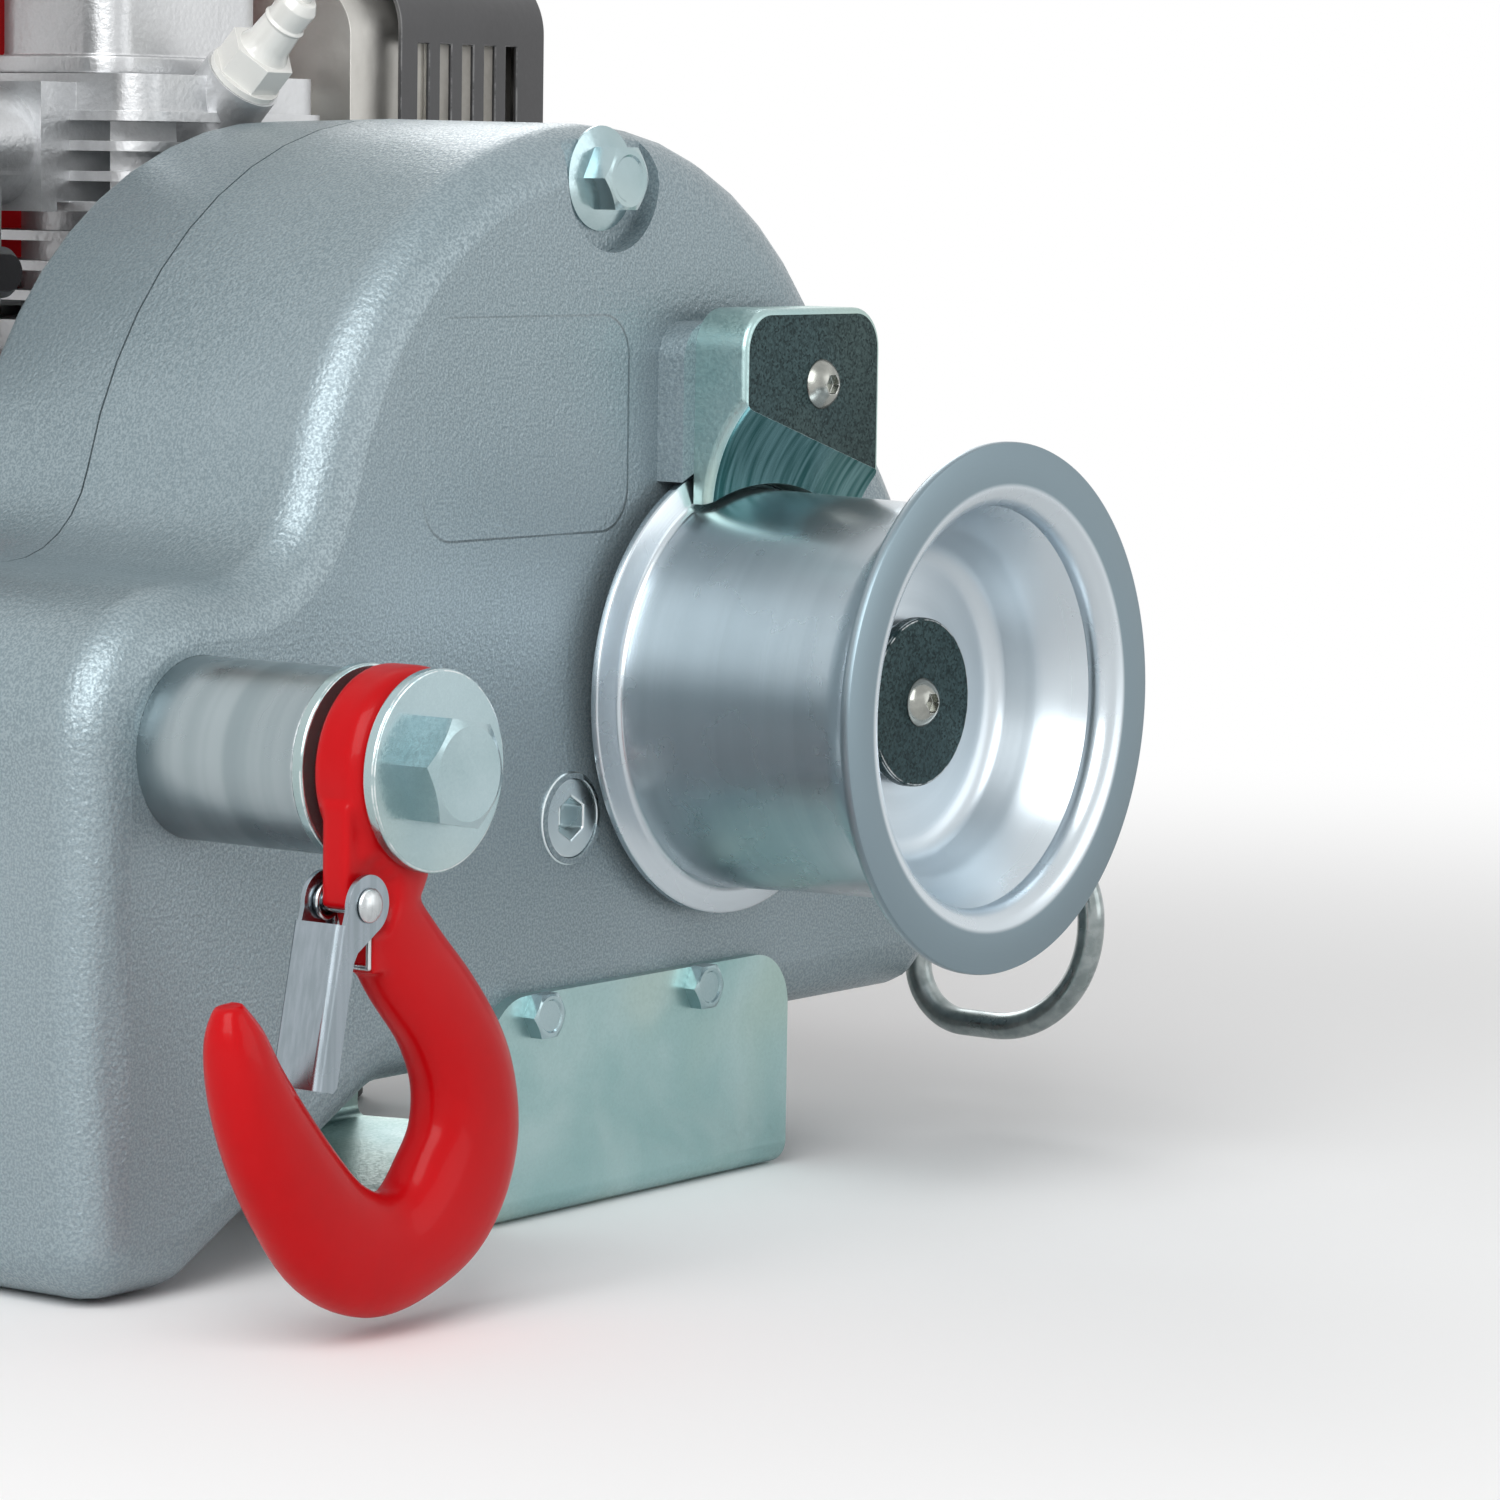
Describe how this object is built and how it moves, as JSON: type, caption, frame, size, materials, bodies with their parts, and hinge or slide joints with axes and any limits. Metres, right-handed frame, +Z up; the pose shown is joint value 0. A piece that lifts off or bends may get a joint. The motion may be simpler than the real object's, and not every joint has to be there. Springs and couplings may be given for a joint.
{
  "type": "portable petrol capstan winch",
  "caption": "Portable capstan rope winch: polished drum on a speckled gear housing, red safety hook, latch, rope guide and ring, small four-stroke engine behind.",
  "frame": {"origin": "on the ground under the drum axis, in the plane of the gear housing's front face, at the front of the base bracket's flat foot", "axes": "+X across the winch to the side of the rope ring, +Y along the drum axis from the drum to the engine, +Z up"},
  "size_m": [0.3195, 0.3315, 0.367],
  "materials": {
    "housing": "speckled silver-grey powder coat",
    "gasket": "dark fibre gasket",
    "zinc": "zinc plated, slightly green",
    "bright_steel": "bright plated",
    "gear_steel": "machined, oiled",
    "drum": "turned and polished",
    "hook": "gloss red enamel",
    "seal": "black rubber",
    "friction": "friction lining on steel",
    "engine_alloy": "die-cast",
    "engine_black": "black enamel",
    "shroud": "red moulded plastic",
    "tank": "white moulded plastic",
    "black_plastic": "black moulded plastic",
    "muffler": "aluminised sheet",
    "plug": "white glazed insulator",
    "rubber": "black rubber"
  },
  "bodies": {
    "frame": {"housing_front": "housing", "housing_gasket": "gasket", "housing_rear": "housing", "casting_bolts": "zinc", "bearings": "gear_steel", "shaft_seal": "seal", "oil_plug": "zinc", "rope_guide": "zinc", "guide_screw": "bright_steel", "base_bracket": "zinc", "bracket_bolts": "zinc", "anchor_bar": "zinc", "bar_spacers": "bright_steel", "bar_bolts": "bright_steel", "rope_ring": "bright_steel", "ring_bolts": "zinc", "crankcase": "engine_alloy", "cylinder": "engine_alloy", "rocker_cover": "engine_alloy", "fan_housing": "shroud", "starter_cover": "black_plastic", "starter_grip": "black_plastic", "fuel_tank": "tank", "tank_bracket": "engine_black", "air_cleaner": "black_plastic", "carburettor": "engine_alloy", "muffler": "muffler", "muffler_guard": "engine_black", "spark_plug": "plug", "rear_foot": "zinc", "rubber_feet": "rubber"},
    "drum": {"capstan_drum": "drum", "drum_washer": "bright_steel", "drum_screw": "bright_steel", "output_shaft": "gear_steel", "output_keys": "gear_steel", "output_gear": "gear_steel"},
    "second": {"second_shaft": "gear_steel", "second_gear": "gear_steel"},
    "first": {"first_shaft": "gear_steel", "first_gear": "gear_steel"},
    "input": {"input_shaft": "gear_steel", "clutch_drum": "gear_steel"},
    "crank": {"crankshaft": "gear_steel", "flywheel": "engine_alloy", "clutch_hub": "gear_steel"},
    "shoe_right": {"clutch_shoe_right": "friction"},
    "shoe_left": {"clutch_shoe_left": "friction"},
    "front_hook": {"front_hook": "hook", "front_latch_rivet": "bright_steel", "front_latch_spring": "bright_steel"},
    "front_latch": {"front_latch": "bright_steel"},
    "rear_hook": {"rear_hook": "hook", "rear_latch_rivet": "bright_steel", "rear_latch_spring": "bright_steel"},
    "rear_latch": {"rear_latch": "bright_steel"},
    "choke": {"choke_lever": "black_plastic"},
    "throttle": {"throttle_lever": "zinc"},
    "fuel_valve": {"fuel_valve_lever": "black_plastic"},
    "cap": {"fuel_cap": "black_plastic"}
  },
  "joints": [
    {"name": "drum_spin", "type": "hinge", "parent": "frame", "child": "drum", "pos_m": [0, -0.03, 0.108], "axis": [0, 1, 0], "continuous": true},
    {"name": "second_spin", "type": "hinge", "parent": "frame", "child": "second", "pos_m": [-0.058, 0.03, 0.108], "axis": [0, 1, 0], "continuous": true},
    {"name": "first_spin", "type": "hinge", "parent": "frame", "child": "first", "pos_m": [-0.06952, 0.03, 0.16076], "axis": [0, 1, 0], "continuous": true},
    {"name": "input_spin", "type": "hinge", "parent": "frame", "child": "input", "pos_m": [-0.038, 0.06, 0.133], "axis": [0, 1, 0], "continuous": true},
    {"name": "crank_spin", "type": "hinge", "parent": "frame", "child": "crank", "pos_m": [-0.038, 0.2, 0.133], "axis": [0, 1, 0], "continuous": true},
    {"name": "shoe_right_slide", "type": "slide", "parent": "crank", "child": "shoe_right", "axis": [1, 0, 0], "range_m": [0, 0.0006], "stiffness_N_per_m": 20000, "springref_m": -0.0002},
    {"name": "shoe_left_slide", "type": "slide", "parent": "crank", "child": "shoe_left", "axis": [-1, 0, 0], "range_m": [0, 0.0006], "stiffness_N_per_m": 20000, "springref_m": -0.0002},
    {"name": "front_hook_swing", "type": "hinge", "parent": "frame", "child": "front_hook", "pos_m": [-0.1665, -0.0509, 0.107], "axis": [0, 1, 0], "continuous": true},
    {"name": "front_latch_open", "type": "hinge", "parent": "front_hook", "child": "front_latch", "pos_m": [-0.1828, -0.0509, 0.0831], "axis": [0, 1, 0], "range_deg": [-38, 0], "stiffness_Nm_per_rad": 0.02, "springref_deg": 34.38},
    {"name": "rear_hook_swing", "type": "hinge", "parent": "frame", "child": "rear_hook", "pos_m": [-0.1665, 0.1489, 0.107], "axis": [0, 1, 0], "range_deg": [-30, 120]},
    {"name": "rear_latch_open", "type": "hinge", "parent": "rear_hook", "child": "rear_latch", "pos_m": [-0.1828, 0.1489, 0.0831], "axis": [0, 1, 0], "range_deg": [-38, 0], "stiffness_Nm_per_rad": 0.02, "springref_deg": 34.38},
    {"name": "choke_turn", "type": "hinge", "parent": "frame", "child": "choke", "pos_m": [-0.103, 0.121, 0.222], "axis": [0, 1, 0], "range_deg": [0, 60]},
    {"name": "throttle_turn", "type": "hinge", "parent": "frame", "child": "throttle", "pos_m": [-0.09, 0.138, 0.239], "axis": [0, 0, 1], "range_deg": [0, 50]},
    {"name": "fuel_valve_turn", "type": "hinge", "parent": "frame", "child": "fuel_valve", "pos_m": [-0.096, 0.121, 0.195], "axis": [0, 1, 0], "range_deg": [0, 90]},
    {"name": "cap_turn", "type": "hinge", "parent": "frame", "child": "cap", "pos_m": [-0.09, 0.2, 0.358], "axis": [0, 0, 1], "continuous": true}
  ],
  "couplings": [
    {"joint": "second_spin", "follows": "drum_spin", "ratio": -3.4615},
    {"joint": "first_spin", "follows": "drum_spin", "ratio": 17.308},
    {"joint": "input_spin", "follows": "drum_spin", "ratio": -103.85}
  ]
}
